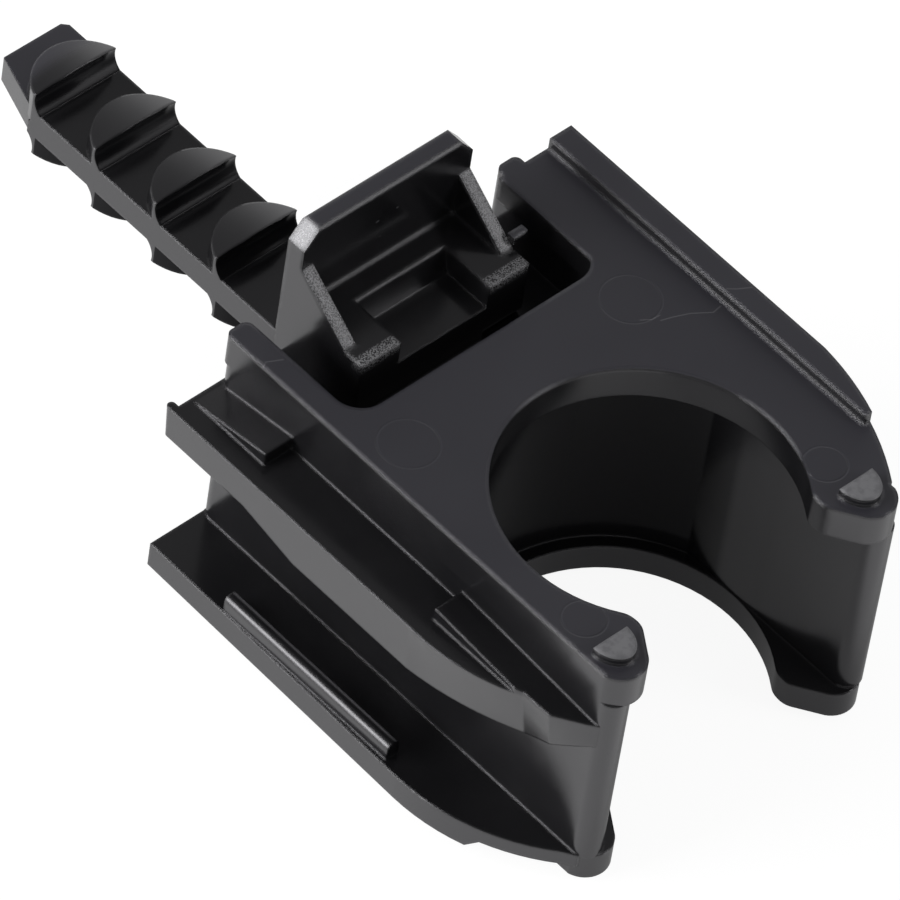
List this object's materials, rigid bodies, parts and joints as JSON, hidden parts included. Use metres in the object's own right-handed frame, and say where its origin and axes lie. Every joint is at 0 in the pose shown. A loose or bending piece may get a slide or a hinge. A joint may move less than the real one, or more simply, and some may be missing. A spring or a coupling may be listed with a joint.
{
  "type": "conduit clip",
  "caption": "Open ring clip that snaps onto a conduit, with side flanges that join it to the next clip and a flat barbed dowel for a drilled hole.",
  "frame": {"origin": "on the axis of the conduit bore, at the underside of the lower plate", "axes": "+Z along the conduit bore from the lower to the upper plate, +Y along the dowel towards its tip, the mouth of the ring opens to -Y"},
  "size_m": [0.0331, 0.0674, 0.0259],
  "materials": {
    "body": "glossy moulded black plastic"
  },
  "bodies": {
    "root": {"conduit_clip": "body"}
  },
  "joints": []
}
